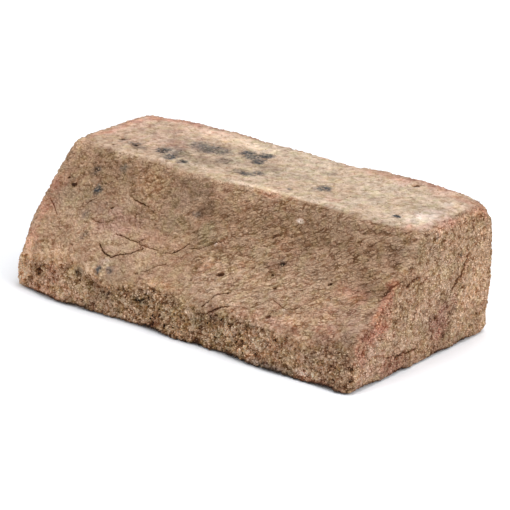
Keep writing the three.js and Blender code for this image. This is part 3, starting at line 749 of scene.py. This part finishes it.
# Crumbs stand out, furthest on the band and the ends, gaps go in, and grit roughens both.
CRUMB_RISE = 0.8 * MM
lift = add(clay, "ShaderNodeMapRange", {"Value": kept["climbing"], 1: 0.0, 2: 1.0, 3: 1.6, 4: 2.0})
lift = add(clay, "ShaderNodeMix", {0: kept["crumbly"], 2: lift, 3: 3.4})
height = add(clay, "ShaderNodeMath", {0: crumb, 1: lift, 2: grit}, operation="MULTIPLY_ADD")
height = add(clay, "ShaderNodeMath", {0: deep, 1: -0.5, 2: height}, operation="MULTIPLY_ADD")
texture = add(clay, "ShaderNodeBump", {"Height": height, "Strength": 1.0, "Distance": CRUMB_RISE})
surface = add(clay, "ShaderNodeBsdfPrincipled", {
    "Base Color": body, "Roughness": 0.95, "Specular IOR Level": 0.25, "Normal": texture})
add(clay, "ShaderNodeOutputMaterial", {"Surface": surface})

skin.materials.clear()
skin.materials.append(fired_clay)
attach(brick, "root")
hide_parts("plinth_brick")


# ---------------------------------------------------------------------------------------------------------
# Moulding sand
# Coarse grains of the sand that kept the clay from sticking to its mould, pressed half into the skin and
# fired on. They lie thickest on the ends and the band.
# ---------------------------------------------------------------------------------------------------------
GRAINS_PER_SQUARE_METRE = 170000
GRAIN_RADIUS = (0.2, 0.42)  # millimetres

sanding = bpy.data.node_groups.new("moulding_sand", "GeometryNodeTree")
for name, kind in (
    ("Brick", "NodeSocketGeometry"),
    ("Grains per Square Metre", "NodeSocketFloat"),
    ("Smallest Radius", "NodeSocketFloat"),
    ("Largest Radius", "NodeSocketFloat"),
    ("Material", "NodeSocketMaterial"),
):
    sanding.interface.new_socket(name, in_out="INPUT", socket_type=kind)
sanding.interface.new_socket("Sand", in_out="OUTPUT", socket_type="NodeSocketGeometry")
given = add(sanding, "NodeGroupInput").outputs
thickness = add(sanding, "GeometryNodeInputNamedAttribute", {"Name": "sanded"}, data_type="FLOAT")
density = add(sanding, "ShaderNodeMath", {0: thickness, 1: given["Grains per Square Metre"]},
              operation="MULTIPLY")
spots = add(sanding, "GeometryNodeDistributePointsOnFaces", {
    "Mesh": given["Brick"], "Density": density, "Seed": 7})
pebble = add(sanding, "GeometryNodeMeshIcoSphere", {"Radius": 1.0, "Subdivisions": 1})
turn = add(sanding, "FunctionNodeRandomValue", {"Min": (0, 0, 0), "Max": (math.tau,) * 3, "Seed": 1},
           data_type="FLOAT_VECTOR")
size = add(sanding, "FunctionNodeRandomValue", {"Seed": 2}, data_type="FLOAT")
sanding.links.new(given["Smallest Radius"], size.inputs[2])
sanding.links.new(given["Largest Radius"], size.inputs[3])
grains = add(sanding, "GeometryNodeInstanceOnPoints", {
    "Points": spots, "Instance": pebble, "Rotation": turn, "Scale": size.outputs[1]})
chance = add(sanding, "FunctionNodeRandomValue", {2: 0.0, 3: 1.0, "Seed": 3}, data_type="FLOAT")
toned = add(sanding, "GeometryNodeStoreNamedAttribute", {
    "Geometry": grains, "Name": "tone", "Value": chance.outputs[1]}, data_type="FLOAT", domain="INSTANCE")
real = add(sanding, "GeometryNodeRealizeInstances", {"Geometry": toned})
finished = add(sanding, "GeometryNodeSetMaterial", {"Geometry": real, "Material": given["Material"]})
add(sanding, "NodeGroupOutput", {"Sand": finished})

# Quartz sand with some iron-stained and burnt grains: from pale buff through the clay's own colour to brown.
fired_sand = bpy.data.materials.new("fired_moulding_sand")
fired_sand.use_nodes = True
quartz = fired_sand.node_tree
quartz.nodes.clear()
tone = add(quartz, "ShaderNodeAttribute", attribute_name="tone")
shades = add(quartz, "ShaderNodeValToRGB", {"Fac": tone.outputs["Fac"]}, [
    (0.0, "#7f6449"), (0.3, "#a28267"), (0.9, "#b49577"), (1.0, "#c7ab8b")])
surface = add(quartz, "ShaderNodeBsdfPrincipled", {"Base Color": shades.outputs[0], "Roughness": 0.6})
add(quartz, "ShaderNodeOutputMaterial", {"Surface": surface})

sand = bpy.data.objects.new("moulding_sand", skin.copy())
bpy.context.scene.collection.objects.link(sand)
spread = sand.modifiers.new("moulding_sand", "NODES")
spread.node_group = sanding
inputs = {item.name: item.identifier for item in sanding.interface.items_tree if item.in_out == "INPUT"}
spread[inputs["Grains per Square Metre"]] = float(GRAINS_PER_SQUARE_METRE)
spread[inputs["Smallest Radius"]] = GRAIN_RADIUS[0] * MM
spread[inputs["Largest Radius"]] = GRAIN_RADIUS[1] * MM
spread[inputs["Material"]] = fired_sand
settled(sand)
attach(sand, "root")


# ---------------------------------------------------------------------------------------------------------
# Floor, lamps and camera
# A pale studio floor under soft, even light from above and behind, with a second soft box at the right and a
# weaker one at the front left.
# ---------------------------------------------------------------------------------------------------------
scene = bpy.context.scene
scene.view_settings.view_transform = "Standard"

bpy.ops.mesh.primitive_plane_add(size=12, location=(0, 0, 0))
floor = bpy.context.object
floor.name = "studio_floor"
# Matt white paper, a little whiter to the camera than the light it throws back on the brick.
paper = bpy.data.materials.new("studio_paper")
paper.use_nodes = True
sheet = paper.node_tree
sheet.nodes.clear()
seen = add(sheet, "ShaderNodeLightPath").outputs["Is Camera Ray"]
matt = add(sheet, "ShaderNodeBsdfDiffuse", {"Color": "#ececec"})
bright = add(sheet, "ShaderNodeBsdfDiffuse", {"Color": "#f9fbff"})
pick = add(sheet, "ShaderNodeMixShader", {0: seen, 1: matt, 2: bright})
add(sheet, "ShaderNodeOutputMaterial", {"Surface": pick})
floor.data.materials.append(paper)

AIR_GLOW = 0.56
world = bpy.data.worlds.new("studio_air")
world.use_nodes = True
scene.world = world
air = world.node_tree
air.nodes.clear()
seen = add(air, "ShaderNodeLightPath").outputs["Is Camera Ray"]
strength = add(air, "ShaderNodeMapRange", {"Value": seen, "To Min": AIR_GLOW, "To Max": 1.0})
glow = add(air, "ShaderNodeBackground", {"Color": "#ffffff", "Strength": strength})
add(air, "ShaderNodeOutputWorld", {"Surface": glow})

for name, stand, size, power in (
    ("overhead_soft_box", (0.15, 0.3, 1.48), 1.0, 11.8),
    ("right_soft_box", (1.25, 0.1, 0.8), 0.8, 9.25),
    ("front_soft_box", (-0.45, -1.05, 1.25), 0.8, 5.65),
):
    light = bpy.data.lights.new(name, "AREA")
    light.size = size
    light.energy = power
    holder = bpy.data.objects.new(name, light)
    scene.collection.objects.link(holder)
    holder.location = stand
    holder.rotation_euler = (Vector(stand) - Vector((0, 0, 0.03))).to_track_quat("Z", "Y").to_euler()

CAMERA_DIP = 19.97  # degrees below level
CAMERA_TURN = 40.21  # degrees round from the front
camera = bpy.data.objects.new("camera", bpy.data.cameras.new("camera"))
scene.collection.objects.link(camera)
camera.data.lens = 248.6
camera.data.sensor_width = 36
camera.data.clip_end = 20
camera.location = (1.0164, -1.1950, 0.5976)
camera.rotation_euler = (math.radians(90 - CAMERA_DIP), 0, math.radians(CAMERA_TURN))
scene.camera = camera
